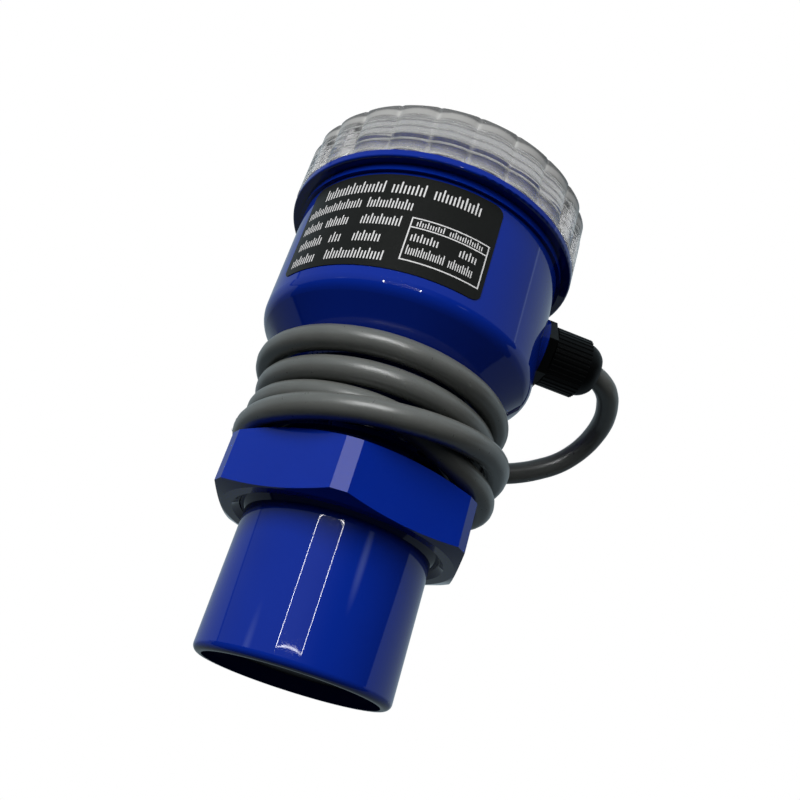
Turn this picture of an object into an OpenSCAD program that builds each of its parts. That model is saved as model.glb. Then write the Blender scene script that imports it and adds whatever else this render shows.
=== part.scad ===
// Ultrasonic level sensor: probe barrel, threaded neck with lock nut, bowl with a clear screw lid,
// cable gland and a cable wound round the neck. +Z runs along the probe, from the sounding face
// to the lid, and the rim of the barrel stands on z = 0. Millimetres.

/* [Probe barrel] */
// How far the smooth barrel stands back from the thread
barrel_back = 1.7; // [0.5:0.1:3]
// Height from the rim to the lower end of the neck's thread
barrel_h = 32.3; // [20:0.1:60]
// Thickness of the barrel's wall
barrel_wall = 2.2; // [2:0.1:4]
// Round on the rim's outer edge
rim_fillet = 1.6; // [0.5:0.1:1.8]
// How far the sounding face is set back in the rim
face_recess = 3.5; // [1:0.1:3.8]

/* [Neck] */
// Outside diameter of the neck's thread
thread_d = 47.8; // [46.5:0.1:52]
// Length of the threaded neck
neck_h = 36.8; // [30:0.1:60]

/* [Bowl] */
// Outside diameter of the bowl
bowl_d = 70; // [64:0.1:74]
// Height of the cone between neck and bowl
cone_h = 11.1; // [6:0.1:16]
// Height of the bowl's straight wall, up to the flange
bowl_h = 33.7; // [30:0.1:50]
// Thickness of the bowl's wall
bowl_wall = 3; // [2:0.1:4]
// Round where the cone turns into the bowl
shoulder_r = 5; // [1:0.1:10]

/* [Flange and collar] */
// How far the flange stands back from the lid's lobes
flange_back = 0.2; // [0:0.1:1.5]
// Thickness of the flange
flange_t = 1.9; // [1:0.1:4]
// Round on the flange's lower edge
flange_round = 0.6; // [0.2:0.1:0.9]
// How far the step under the flange stands out of the bowl
step_out = 0.9; // [0.4:0.1:2]
// Height of the step under the flange
step_h = 1.8; // [0.8:0.1:2.4]
// How far the collar inside the lid stands out of the bowl, without its thread
collar_out = 0.2; // [0.1:0.1:1.2]
// Height of the collar above the flange
collar_h = 7.6; // [6:0.1:9]

/* [Lid] */
// Thickness of the lid's wall at its lobes
lid_wall = 2.3; // [2.2:0.1:4]
// Height of the lid's wall and roof
lid_h = 14.6; // [12:0.1:18]
// Number of lobes round the wall
lid_lobes = 24; // [20:1:30]
// Radius of one lobe
lobe_r = 11; // [10:0.5:14]
// Turn of the lobes about the axis
lobe_turn = 4; // [0:1:15]
// Room for the threads between collar and lid
thread_room = 1.1; // [0.8:0.1:1.4]
// Thickness of the roof
lid_roof = 2.4; // [1.5:0.1:4]
// Bevel on the top edge
lid_bevel = 0.6; // [0.3:0.1:2]
// Gap between the lid's rim and the flange
lid_gap = 0.3; // [0.1:0.1:0.6]

/* [Lid seal] */
// Height of the seal ring
seal_h = 1.9; // [1.5:0.1:2.5]
// Width of the seal ring
seal_w = 1; // [0.8:0.1:1.4]

/* [Lock nut] */
// Thickness of the wall at the middle of a flat
nut_wall = 4.3; // [3.5:0.1:8]
// How much the size over the cut corners exceeds the size over the flats
nut_over = 6.6; // [4:0.1:8]
// Height of the nut
nut_h = 14.1; // [8:0.1:16]
// Bevel on the corners, top and bottom
nut_bevel = 1.6; // [0.5:0.1:2.5]
// Chamfer at both ends of the bore
nut_lead = 1.3; // [0.5:0.1:2]
// Turn of one corner about the axis
nut_turn = 19; // [0:1:59]
// Height of the nut above the end of the thread
nut_rise = 0.2; // [0.1:0.1:6]

/* [Cable gland] */
// Gland's axis below the underside of the flange
gland_drop = 14.9; // [14:0.1:20]
// Rim of the boss round the gland's hexagon
boss_rim = 1.2; // [0.6:0.1:3]
// How far the boss stands out of the bowl
boss_out = 0.2; // [0.1:0.1:5]
// How far the boss stands into the bowl
boss_in = 1.8; // [1.7:0.1:4]
// Thickness between the gland's thread and its hexagon's flats
gland_hex = 1.8; // [1.4:0.1:2.4]
// Thickness of the hexagon foot
gland_foot = 2.6; // [2:0.1:5]
// Turn of the hexagon foot about the gland's axis
hex_turn = 30; // [0:1:59]
// Room between the cable and the outside of the gland's thread
gland_room = 3.2; // [3:0.1:4]
// Length of the ribbed skirt of the dome nut
gland_skirt = 9.9; // [8:0.1:14]
// How far the dome stands back from the ribs
dome_back = 0.9; // [0.2:0.1:1.2]
// Length of the dome
gland_dome = 4.2; // [3.5:0.1:7]
// Thickness of the dome nut's skirt, with its ribs
gland_nut_wall = 2; // [1.5:0.1:2.6]
// Number of ribs round the dome nut
gland_ribs = 36; // [24:1:48]
// Thickness of the nut inside the bowl
gland_locknut_t = 4; // [3:0.1:5]
// Length of thread past the inner nut
gland_thread_end = 1; // [0.5:0.1:2]
// Wall of the sleeve that holds the gland's seal
gland_sleeve = 1.3; // [1:0.1:1.6]
// Depth of the seal's seat behind the foot's face
gland_seat = 1.9; // [1:0.1:3]
// Length of the seal past its sleeve
gland_seal_end = 1.6; // [1:0.1:2]
// Thickness of the lip in the dome nut, over the seal
gland_lip = 1.2; // [0.8:0.1:2]
// Gap between the cable and the dome nut's throat
mouth_gap = 0.5; // [0.3:0.1:0.8]
// How much the dome nut's mouth flares towards its end
mouth_flare = 1.1; // [0.8:0.1:1.2]
// How far past its end the dome's curve would close
dome_open = 1.8; // [1.5:0.1:3]

/* [Cable] */
// Outside diameter of the cable
cable_d = 6; // [5:0.1:6.2]
// Outside diameter of one core
core_d = 1.5; // [1:0.1:1.8]
// Length of cable inside the bowl, past the gland
tail_in = 4.5; // [2:0.1:8]

/* [Label] */
// Width of the label, along the curve
label_w = 52.5; // [30:0.5:70]
// Height of the label
label_h = 26.7; // [15:0.1:28]
// Direction that the label's middle faces
label_turn = -116; // [-140:1:-70]
// Gap between the label and the step under the flange
label_drop = 0.9; // [0.5:0.1:3]
// Radius of the label's corners
label_corner = 2; // [0.5:0.1:4]
// Thickness of the label
label_t = 0.15; // [0.1:0.05:0.4]

/* [Circuit board] */
// Gap between the board's edge and the bowl
board_gap = 0.5; // [0.3:0.1:1]
// Thickness of the board
board_t = 1.6; // [1:0.1:2]
// Board's upper face below the flange's upper face
board_drop = 3.8; // [2:0.1:6]
// Wall of the three posts under the board, round their screws
post_wall = 2.2; // [1.5:0.1:2.6]
// How far a post sinks into the bowl's wall
post_sink = 0.3; // [0.1:0.1:0.8]
// Diameter of the board's screws
screw_d = 2; // [1.6:0.1:2.5]
// How far a screw's head stands out round its shank
screw_rim = 1; // [0.6:0.1:1.4]
// Height of the screw heads
screw_head_h = 1.4; // [1:0.1:2]
// How deep a screw goes into its post
screw_grip = 7; // [4:0.1:12]
// Width of the display
display_w = 31; // [20:0.5:36]
// Depth of the display
display_l = 15; // [10:0.5:18]
// Height of the display above the board
display_h = 7.5; // [3:0.1:9]
// Border round the display's window
display_border = 1.6; // [1:0.1:3]
// Depth of the display's window
display_sunk = 0.8; // [0.4:0.1:1.5]
// Rim of the square switch round its key
switch_rim = 1.3; // [0.8:0.1:2]
// Height of the switches
switch_h = 3.4; // [3:0.1:5]
// Diameter of a key
key_d = 3.4; // [3:0.1:4.2]
// Height of a key above its switch
key_h = 2.4; // [1:0.1:4]
// Travel of a key
key_travel = 0.3; // [0.2:0.05:0.5]
// Floor of a switch, under its key
switch_floor = 0.6; // [0.4:0.1:1]
// Distance from the display to the row of keys
key_row = 7; // [6:0.1:9]
// Distance between keys
key_pitch = 10; // [7.5:0.5:12]
// Display's middle, off the probe's axis
display_y = 6; // [0:0.5:8]
// Plug's middle, off the probe's axis
header_x = 12; // [8:0.5:13]
// Width of the plug under the board
header_w = 8; // [6:0.1:10]
// Height of the plug under the board
header_h = 6; // [4:0.1:6.4]

/* [Transducer] */
// Thickness of the sounding face
face_t = 3; // [2:0.1:5]
// Width of the decoupling ring, between the piezo disc and the bore
decouple_w = 4.6; // [2:0.1:8]
// Thickness of the piezo disc
piezo_t = 4; // [2:0.1:8]
// Thickness of the decoupling ring
decouple_t = 6; // [4.5:0.1:9]
// Height of the damping block
backing_h = 13.5; // [8:0.1:20]
// Top of the potting below the neck's upper end
potting_drop = 4.9; // [2:0.1:10]
// Diameter of one transducer lead
lead_d = 1.2; // [0.8:0.1:1.6]

/* [Clearances] */
// Between parts that move past each other
move_gap = 0.3; // [0.2:0.05:0.5]
// Radial clearance of a running fit
run_gap = 0.08; // [0.02:0.01:0.1]
// Between fixed round parts
fit_gap = 0.05; // [0.02:0.01:0.1]

/* [Hidden] */
$fn = 96;
eps = 0.01;

// Levels from the rim up
z_thread = barrel_h;
z_neck = barrel_h + neck_h;
z_bowl = z_neck + cone_h;
z_flange = z_bowl + bowl_h;
z_deck = z_flange + flange_t;
z_collar = z_deck + collar_h;
z_lid = z_deck + lid_gap;
z_nut = z_thread + nut_rise;
z_gland = z_flange - gland_drop;
z_board = z_deck - board_drop;
z_post = z_board - board_t;
z_face = face_recess;
z_piezo = z_face + face_t;
z_backing = z_piezo + piezo_t;
z_potting = z_neck - potting_drop;

// Radii, each from the piece that it goes round or into
thread_r = thread_d / 2;
barrel_r = thread_r - barrel_back;
bore_r = barrel_r - barrel_wall;
piezo_r = bore_r - decouple_w;
bowl_r = bowl_d / 2;
cave_r = bowl_r - bowl_wall;
collar_r = bowl_r + collar_out;
lid_bore_r = collar_r + thread_room;
lid_r = lid_bore_r + lid_wall;
flange_r = lid_r - flange_back;
seal_in_r = collar_r + move_gap;
seal_out_r = seal_in_r + seal_w;
cable_r = cable_d / 2;
gland_thread_r = cable_r + gland_room;
gland_nut_r = gland_thread_r + gland_nut_wall;
gland_af = 2 * (gland_thread_r + gland_hex);
boss_r = gland_af / 2 + boss_rim;
nut_af = thread_d + 2 * nut_wall;
nut_corner = nut_af + nut_over;
post_r = screw_d / 2 + post_wall;
screw_head_d = screw_d + 2 * screw_rim;
switch_w = key_d + 2 * switch_rim;

// The cone's slope, and where the bowl's inner cone meets the bore
cone_a = atan2(cone_h, bowl_r - thread_r);
cone_shift = bowl_wall / cos(cone_a);
z_cave = z_bowl + cone_shift - bowl_wall * tan(cone_a);
z_bore = z_cave - (cave_r - bore_r) * tan(cone_a);

// Stations along the gland's axis, from the probe's axis outwards
x_boss = bowl_r + boss_out;
x_seat = cave_r - boss_in;
x_locknut = x_seat - gland_locknut_t;
x_foot = x_boss + gland_foot;
x_skirt = x_foot + move_gap;
x_dome = x_skirt + gland_skirt;
x_exit = x_dome + gland_dome;
x_tail = x_locknut - gland_thread_end - tail_in;
gland_bore_r = gland_thread_r - gland_sleeve;
gland_seal_r = gland_bore_r - move_gap;
x_grip = x_foot + gland_seat;
x_press = x_dome - gland_lip;
x_stub = x_press - gland_seal_end;

// Places on the board
post_place = cave_r - post_r + post_sink;
post_turns = [60, 180, 300];
keys_y = display_y - display_l / 2 - key_row;
z_header = z_post - header_h;

// Loose stretch of the cable: offsets from where it starts to bend, inside the dome nut's mouth
loop_route = [
  [0, 0, 0], [0.5, 0, 0], [1, 0, 0], [5, 0.6, -0.2], [8.5, 2.3, -0.9], [11.1, 4.8, -1.8], [12.9, 7.8, -2.8],
  [14.4, 11.5, -4.1], [15.2, 15.4, -5.6], [15.1, 19, -7.6], [14.2, 22.2, -10], [12.2, 24.9, -12.9],
  [9.1, 26.9, -16], [4.9, 28.1, -18.9], [-0.4, 28.8, -21.9], [-6.4, 29.2, -24.4], [-12.8, 29.5, -26.3],
  [-19.2, 29.8, -27.6], [-25.9, 30.3, -28.6], [-32.7, 30.8, -29.3], [-38.6, 30.9, -29.8],
  [-44.5, 30.6, -30.3], [-50.1, 29.6, -31]];

// Turns of the coil: distance from the axis and height over the nut, one ring for each layer
coil_seat = thread_r + move_gap + cable_r;
z_coil = z_nut + nut_h + move_gap + cable_r;
coil_rings = [
  [coil_seat + 1, 0], [coil_seat + 4, 3], [coil_seat + 0.4, 5.2],
  [coil_seat, 11.3], [coil_seat + 1.6, 18.2]];

// Wires inside the bowl
core_route = [
  [x_tail, 1.5, z_gland], [x_tail - 1, 1.5, z_gland], [x_tail - 2, 1.5, z_gland],
  [x_tail - 5.2, 1.5, z_gland + 1], [x_tail - 7.2, 1.5, z_gland + 3], [header_x, 1.5, z_header - 1.4],
  [header_x, 1.5, z_header - 0.7], [header_x, 1.5, z_header]];
lead_route = [
  [-4, 2, z_potting], [-4, 2, z_potting + 2], [-4, 2, z_potting + 4], [-5, 3, z_potting + 16],
  [-6, 3, z_potting + 30], [-6, 2, z_post - 4], [-6, 2, z_post - 2], [-6, 2, z_post]];

// Unit vector
function unit(v) = v / norm(v);
// Direction of a route at point i
function along(p, i) = unit(p[min(i + 1, len(p) - 1)] - p[max(i - 1, 0)]);
// Part of a that stands square to t
function square_to(a, t) = unit(a - (a * t) * t);
// Side vectors carried along a route without twist
function sides(p, i = 0, last = [0, 0, 1]) =
  i == len(p) ? [] :
  let (t = along(p, i), s = square_to(last, t)) concat([s], sides(p, i + 1, s));
// Points of one route, each with a new point half way to the next on a smooth curve
function smooth(p) = [
  for (i = [0 : 2 * len(p) - 2]) i % 2 == 0 ? p[i / 2] :
    let (k = floor(i / 2), a = p[max(k - 1, 0)], d = p[min(k + 2, len(p) - 1)])
    (9 * (p[k] + p[k + 1]) - a - d) / 16];

// Round tube swept along a route
module tube(route, d, n) {
  s = sides(route, 0, abs(along(route, 0)[2]) > 0.9 ? [1, 0, 0] : [0, 0, 1]);
  rings = [for (i = [0 : len(route) - 1]) let (t = along(route, i), b = cross(t, s[i]))
    [for (k = [0 : n - 1]) route[i] + d / 2 * (cos(360 * k / n) * s[i] + sin(360 * k / n) * b)]];
  pts = [for (r = rings) each r];
  last = (len(route) - 1) * n;
  polyhedron(pts, concat(
    [[for (k = [0 : n - 1]) k]],
    [for (i = [0 : len(route) - 2], k = [0 : n - 1])
      [i * n + k, (i + 1) * n + k, (i + 1) * n + (k + 1) % n, i * n + (k + 1) % n]],
    [[for (k = [n - 1 : -1 : 0]) last + k]]), convexity = 8);
}

// Turned ring between two radii
module ring(r_out, r_in, h) {
  difference() {
    cylinder(r = r_out, h = h);
    translate([0, 0, -1]) cylinder(r = r_in, h = h + 2);
  }
}

// Hexagon prism by its size across flats
module hexagon(af, h) {
  cylinder(d = af / cos(30), h = h, $fn = 6);
}

// Puts what is drawn along +Z onto the gland's axis, x out from the probe's axis
module on_gland(x) {
  translate([x, 0, z_gland]) rotate([0, 90, 0]) children();
}

// Cuts a convex corner at p to a round: the outline turns there, and goes on in direction a_out
module round_corner(p, r, turn, a_out) {
  reach = r * tan(turn / 2);
  a_in = a_out - turn;
  centre = p + reach * [cos(a_out), sin(a_out)] + r * [-sin(a_out), cos(a_out)];
  difference() {
    polygon([
      p - reach * [cos(a_in), sin(a_in)],
      p - reach * [cos(a_in), sin(a_in)] + [sin(a_in), -cos(a_in)],
      p + [sin(a_in) + sin(a_out), -cos(a_in) - cos(a_out)],
      p + reach * [cos(a_out), sin(a_out)] + [sin(a_out), -cos(a_out)],
      p + reach * [cos(a_out), sin(a_out)]]);
    translate(centre) circle(r);
  }
}

// Half section of the housing's outside
module housing_section() {
  chamfer = thread_r - barrel_r;
  difference() {
    union() {
      polygon([
        [0, 0], [barrel_r, 0], [barrel_r, z_thread], [thread_r, z_thread + chamfer],
        [thread_r, z_neck], [bowl_r, z_bowl], [bowl_r, z_flange + eps], [0, z_flange + eps]]);
      translate([0, z_flange - step_h]) square([bowl_r + step_out, step_h + eps]);
      translate([0, z_flange]) square([flange_r, flange_t]);
      translate([0, z_flange]) square([collar_r, flange_t + collar_h]);
    }
    round_corner([barrel_r, 0], rim_fillet, 90, 90);
    round_corner([bowl_r, z_bowl], shoulder_r, 90 - cone_a, 90);
    round_corner([flange_r, z_flange], flange_round, 90, 90);
  }
}

// Half section of the space inside the housing
module cave_section() {
  polygon([
    [0, -1], [bore_r, -1], [bore_r, z_bore], [cave_r, z_cave], [cave_r, z_collar + 1], [0, z_collar + 1]]);
}

// Three places for what stands on the posts
module at_posts() {
  for (a = post_turns) rotate(a) translate([post_place, 0, 0]) children();
}

module housing() {
  color("mediumblue") {
    difference() {
      union() {
        rotate_extrude() housing_section();
        on_gland(cave_r) cylinder(r = boss_r, h = x_boss - cave_r);
      }
      rotate_extrude() cave_section();
      on_gland(cave_r - 1) cylinder(r = gland_thread_r + fit_gap, h = x_boss - cave_r + 2);
    }
    // Pad inside the bowl, for the gland's inner nut
    intersection() {
      difference() {
        on_gland(x_seat) cylinder(r = boss_r, h = x_boss - x_seat);
        on_gland(x_seat - 1) cylinder(r = gland_thread_r + fit_gap, h = x_boss - x_seat + 2);
      }
      cylinder(r = bowl_r - bowl_wall / 2, h = z_flange);
    }
    // Posts that rise from the cone and carry the board
    intersection() {
      difference() {
        at_posts() translate([0, 0, z_neck]) cylinder(r = post_r, h = z_post - z_neck);
        at_posts() translate([0, 0, z_post - screw_grip - 1])
          cylinder(d = screw_d + 2 * fit_gap, h = screw_grip + 2);
      }
      rotate_extrude() housing_section();
    }
  }
}

// Plan of the lid: lobes that meet in narrow notches
module lid_plan() {
  place = lid_r - lobe_r;
  circle(r = place + lobe_r / 2);
  for (i = [0 : lid_lobes - 1])
    rotate(lobe_turn + i * 360 / lid_lobes) translate([place, 0]) circle(r = lobe_r);
}

module lid() {
  color([0.86, 0.88, 0.88, 0.45])
  translate([0, 0, z_lid]) difference() {
    intersection() {
      linear_extrude(lid_h) lid_plan();
      rotate_extrude() polygon([
        [0, -1], [lid_r + 1, -1], [lid_r + 1, lid_h - lid_bevel - 1], [lid_r - lid_bevel, lid_h],
        [lid_r - lid_bevel, lid_h + 1], [0, lid_h + 1]]);
    }
    translate([0, 0, -1]) cylinder(r = lid_bore_r, h = lid_h - lid_roof + 1);
    translate([0, 0, -1]) cylinder(r = seal_out_r + move_gap, h = seal_h - lid_gap + 1);
  }
}

module lid_seal() {
  color("whitesmoke") translate([0, 0, z_deck]) ring(seal_out_r, seal_in_r, seal_h);
}

// Plan of the lock nut: a hexagon whose corners are cut flat
module nut_plan() {
  intersection() {
    circle(d = nut_af / cos(30), $fn = 6);
    rotate(30) circle(d = nut_corner / cos(30), $fn = 6);
  }
}

module lock_nut() {
  r = thread_r + run_gap;
  far = nut_corner / 2 / cos(15);
  color("mediumblue") translate([0, 0, z_nut]) rotate(nut_turn) difference() {
    intersection() {
      linear_extrude(nut_h) nut_plan();
      // Cone at each end, so the flats end in curved edges
      rotate_extrude() polygon([
        [0, 0], [far - 3 * nut_bevel, 0], [far, nut_bevel], [far, nut_h - nut_bevel],
        [far - 3 * nut_bevel, nut_h], [0, nut_h]]);
    }
    translate([0, 0, -1]) cylinder(r = r, h = nut_h + 2);
    translate([0, 0, -eps]) cylinder(r1 = r + nut_lead, r2 = r, h = nut_lead);
    translate([0, 0, nut_h - nut_lead + eps]) cylinder(r1 = r, r2 = r + nut_lead, h = nut_lead);
  }
}

// Rectangle with round corners, centred
module round_square(w, h, r) {
  square([w - 2 * r, h], center = true);
  square([w, h - 2 * r], center = true);
  for (x = [-1, 1], y = [-1, 1]) translate([x * (w / 2 - r), y * (h / 2 - r)]) circle(r);
}

module label() {
  r = bowl_r + fit_gap / 2;
  chord = 2 * r * sin(label_w / r * 90 / PI);
  z_mid = z_flange - step_h - label_drop - label_h / 2;
  color([0.1, 0.1, 0.09]) rotate(label_turn) intersection() {
    translate([0, 0, z_mid - label_h]) ring(r + label_t, r, 2 * label_h);
    translate([0, 0, z_mid]) rotate([90, 0, 90]) linear_extrude(bowl_d)
      round_square(chord, label_h, label_corner);
  }
}

module gland_body() {
  color([0.06, 0.06, 0.06]) difference() {
    union() {
      on_gland(x_boss) rotate(hex_turn) hexagon(gland_af, gland_foot);
      on_gland(x_locknut - gland_thread_end)
        cylinder(r = gland_thread_r, h = x_stub - x_locknut + gland_thread_end);
    }
    on_gland(x_tail) cylinder(r = cable_r + fit_gap, h = x_exit - x_tail);
    on_gland(x_grip) cylinder(r = gland_bore_r, h = x_stub - x_grip + 1);
  }
}

module gland_seal() {
  color([0.12, 0.12, 0.12]) on_gland(x_grip) ring(gland_seal_r, cable_r + run_gap, x_press - x_grip);
}

// Plan of the dome nut's skirt: a round with fine grooves between its ribs
module rib_plan() {
  groove = 1.2 * gland_nut_r * sin(90 / gland_ribs);
  difference() {
    circle(r = gland_nut_r);
    for (i = [0 : gland_ribs - 1])
      rotate(i * 360 / gland_ribs) translate([gland_nut_r + groove * 0.45, 0]) circle(r = groove, $fn = 24);
  }
}

module gland_nut() {
  mouth_r = cable_r + mouth_gap;
  dome_r = gland_nut_r - dome_back;
  color([0.05, 0.05, 0.05]) difference() {
    union() {
      on_gland(x_skirt) linear_extrude(gland_skirt) rib_plan();
      // Dome that closes in on the cable
      on_gland(x_dome - eps) intersection() {
        scale([1, 1, (gland_dome + dome_open) / dome_r]) sphere(r = dome_r);
        cylinder(r = dome_r + 1, h = gland_dome);
      }
    }
    on_gland(x_skirt - 1) cylinder(r = gland_thread_r + move_gap, h = x_press - x_skirt + 1);
    on_gland(x_skirt) cylinder(r = mouth_r, h = x_exit - x_skirt + 1);
    on_gland(x_dome) cylinder(r1 = mouth_r, r2 = mouth_r + mouth_flare, h = gland_dome + eps);
  }
}

module gland_locknut() {
  color([0.06, 0.06, 0.06]) difference() {
    on_gland(x_locknut) hexagon(gland_af - 1, gland_locknut_t);
    on_gland(x_locknut - 1) cylinder(r = gland_thread_r + fit_gap, h = gland_locknut_t + 2);
  }
}

module cable_tail() {
  color("dimgray") on_gland(x_tail) cylinder(r = cable_r, h = x_dome - x_tail);
}

module cable_loop() {
  bend = [x_dome, 0, z_gland];
  color("dimgray") tube(smooth([for (p = loop_route) bend + p]), cable_d, 10);
}

module cable_coil() {
  top = coil_rings[len(coil_rings) - 1][1];
  color("dimgray") rotate_extrude() {
    for (c = coil_rings) translate([c[0], z_coil + c[1]]) circle(r = cable_r);
    translate([coil_seat - cable_r / 2, z_coil]) square([cable_r, top]);
  }
}

// One core, on the side that is given
module core(side) {
  tube(smooth([for (p = core_route) [p[0], side * p[1], p[2]]]), core_d, 8);
}

module core_red() {
  color("red") core(1);
}

module core_black() {
  color([0.1, 0.1, 0.1]) core(-1);
}

module wire_header() {
  color("ivory") translate([header_x, 0, z_header + header_h / 2])
    cube([header_w, header_w, header_h], center = true);
}

module circuit_board() {
  color("darkgreen") translate([0, 0, z_post]) difference() {
    cylinder(r = cave_r - board_gap, h = board_t);
    translate([0, 0, -1]) at_posts() cylinder(d = screw_d + 2 * fit_gap, h = board_t + 2);
  }
}

module board_screws() {
  color("silver") at_posts() {
    translate([0, 0, z_post - screw_grip]) cylinder(d = screw_d, h = screw_grip + board_t + eps);
    translate([0, 0, z_board]) difference() {
      cylinder(d = screw_head_d, h = screw_head_h);
      // Cross slot
      for (a = [0, 90]) rotate(a) translate([0, 0, screw_head_h])
        cube([screw_head_d * 0.6, screw_head_d * 0.16, screw_head_h], center = true);
    }
  }
}

module display_module() {
  color([0.15, 0.12, 0.12]) translate([0, display_y, z_board]) difference() {
    translate([-display_w / 2, -display_l / 2, 0]) cube([display_w, display_l, display_h]);
    translate([-display_w / 2 + display_border, -display_l / 2 + display_border, display_h - display_sunk])
      cube([display_w - 2 * display_border, display_l - 2 * display_border, display_sunk + 1]);
  }
}

// Places of the three keys, left to right
module at_key(i) {
  translate([(i - 1) * key_pitch, keys_y, z_board]) children();
}

module button_switches() {
  color([0.2, 0.2, 0.2]) for (i = [0 : 2]) at_key(i) difference() {
    translate([-switch_w / 2, -switch_w / 2, 0]) cube([switch_w, switch_w, switch_h]);
    translate([0, 0, switch_floor]) cylinder(d = key_d + 2 * run_gap, h = switch_h);
  }
}

// One key, held clear of the floor of its switch by its travel
module key(i) {
  bottom = switch_floor + key_travel + move_gap;
  at_key(i) translate([0, 0, bottom]) cylinder(d = key_d, h = switch_h + key_h - bottom);
}

module button_set() {
  color("firebrick") key(0);
}

module button_up() {
  color("gainsboro") key(1);
}

module button_down() {
  color("gainsboro") key(2);
}

module sounding_face() {
  color([0.25, 0.25, 0.27]) translate([0, 0, z_face]) cylinder(r = bore_r - fit_gap, h = face_t);
}

module piezo_disc() {
  color("khaki") translate([0, 0, z_piezo]) cylinder(r = piezo_r, h = piezo_t);
}

module decoupling_ring() {
  color([0.3, 0.3, 0.3]) translate([0, 0, z_piezo]) ring(bore_r - fit_gap, piezo_r + fit_gap, decouple_t);
}

module backing_block() {
  color("tan") translate([0, 0, z_backing]) cylinder(r = piezo_r, h = backing_h);
}

module potting() {
  low = z_piezo + decouple_t;
  color([0.1, 0.1, 0.1]) difference() {
    translate([0, 0, low]) cylinder(r = bore_r - fit_gap, h = z_potting - low);
    translate([0, 0, low - 1]) cylinder(r = piezo_r + fit_gap, h = z_backing + backing_h - low + 1);
  }
}

module piezo_leads() {
  color("orange") for (side = [-1, 1])
    tube(smooth([for (p = lead_route) [p[0], side * p[1], p[2]]]), lead_d, 8);
}

housing();
lid();
lid_seal();
lock_nut();
label();
gland_body();
gland_seal();
gland_nut();
gland_locknut();
cable_tail();
cable_loop();
cable_coil();
core_red();
core_black();
wire_header();
circuit_board();
board_screws();
display_module();
button_switches();
button_set();
button_up();
button_down();
sounding_face();
piezo_disc();
decoupling_ring();
backing_block();
potting();
piezo_leads();
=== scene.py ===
# %% [markdown]
# # An ultrasonic level sensor
# The sensor looks down into a tank through a threaded hole. Its smooth barrel holds the sounding
# face, a lock nut clamps the threaded neck, and the bowl above holds a circuit board under a clear
# screw lid. Its cable leaves through a gland and is wound round the neck, as it comes out of the box.
# The solids are loaded first, then come the camera, the cable, the finishes and the small pieces.

import math

import bmesh
import bpy
from mathutils import Matrix, Vector


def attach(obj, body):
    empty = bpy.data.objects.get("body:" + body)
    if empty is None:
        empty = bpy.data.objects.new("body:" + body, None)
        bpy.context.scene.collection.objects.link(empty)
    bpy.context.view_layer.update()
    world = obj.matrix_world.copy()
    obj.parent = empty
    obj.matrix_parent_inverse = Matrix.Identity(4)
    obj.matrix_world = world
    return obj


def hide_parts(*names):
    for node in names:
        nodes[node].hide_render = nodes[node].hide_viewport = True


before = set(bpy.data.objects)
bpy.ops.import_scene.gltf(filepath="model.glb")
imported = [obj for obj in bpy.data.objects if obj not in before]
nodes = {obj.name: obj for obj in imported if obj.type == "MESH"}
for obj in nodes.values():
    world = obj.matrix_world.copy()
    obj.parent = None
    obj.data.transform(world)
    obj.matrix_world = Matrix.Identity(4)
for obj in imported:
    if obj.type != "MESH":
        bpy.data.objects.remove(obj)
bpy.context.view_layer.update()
MM = 0.001

# %% [markdown]
# ## The camera
# The photograph looks up at the sensor from a little below its rim, and the picture leans. A camera
# is easiest to place by where it stands, the point that it looks at, and its lean about that line.

# %% Camera
CAMERA_AT = Vector((-0.0201, -0.1917, -0.0198))
CAMERA_LOOKS_AT = Vector((0.0042, 0.0, 0.0715))
CAMERA_LEAN = math.radians(17.54)
CAMERA_LENS, CAMERA_FILM, CAMERA_NEAR = 38.54, 36.0, 0.005

camera = bpy.data.objects.new("camera", bpy.data.cameras.new("camera"))
bpy.context.scene.collection.objects.link(camera)
camera.data.lens = CAMERA_LENS
camera.data.sensor_width = CAMERA_FILM
camera.data.clip_start = CAMERA_NEAR
turn = (CAMERA_LOOKS_AT - CAMERA_AT).to_track_quat("-Z", "Y").to_matrix().to_4x4()
camera.matrix_world = Matrix.Translation(CAMERA_AT) @ turn @ Matrix.Rotation(CAMERA_LEAN, 4, "Z")
bpy.context.scene.camera = camera
print("camera is", round((CAMERA_LOOKS_AT - CAMERA_AT).length, 3), "m away")

# %% [markdown]
# ## The cable
# A cable has a fixed length, so its path is one smooth curve: out of the gland, round in a loop behind
# the bowl, then four turns about the neck. The loop's points are the ones of its solid. The turns are
# a short list of angles with a distance from the axis and a height, and a loop fills in the points
# between them, because the strands cross over each other and no plain helix would lie right.

# %% Path of the cable
CABLE_D = 6.0
BEND = Vector((48.0, 0.0, 99.0))
LOOP = (
    (0, 0, 0), (0.5, 0, 0), (1, 0, 0), (5, 0.6, -0.2), (8.5, 2.3, -0.9), (11.1, 4.8, -1.8),
    (12.9, 7.8, -2.8), (14.4, 11.5, -4.1), (15.2, 15.4, -5.6), (15.1, 19, -7.6), (14.2, 22.2, -10),
    (12.2, 24.9, -12.9), (9.1, 26.9, -16), (4.9, 28.1, -18.9), (-0.4, 28.8, -21.9), (-6.4, 29.2, -24.4),
    (-12.8, 29.5, -26.3), (-19.2, 29.8, -27.6), (-25.9, 30.3, -28.6), (-32.7, 30.8, -29.3),
    (-38.6, 30.9, -29.8), (-44.5, 30.6, -30.3), (-50.1, 29.6, -31),
)
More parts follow.
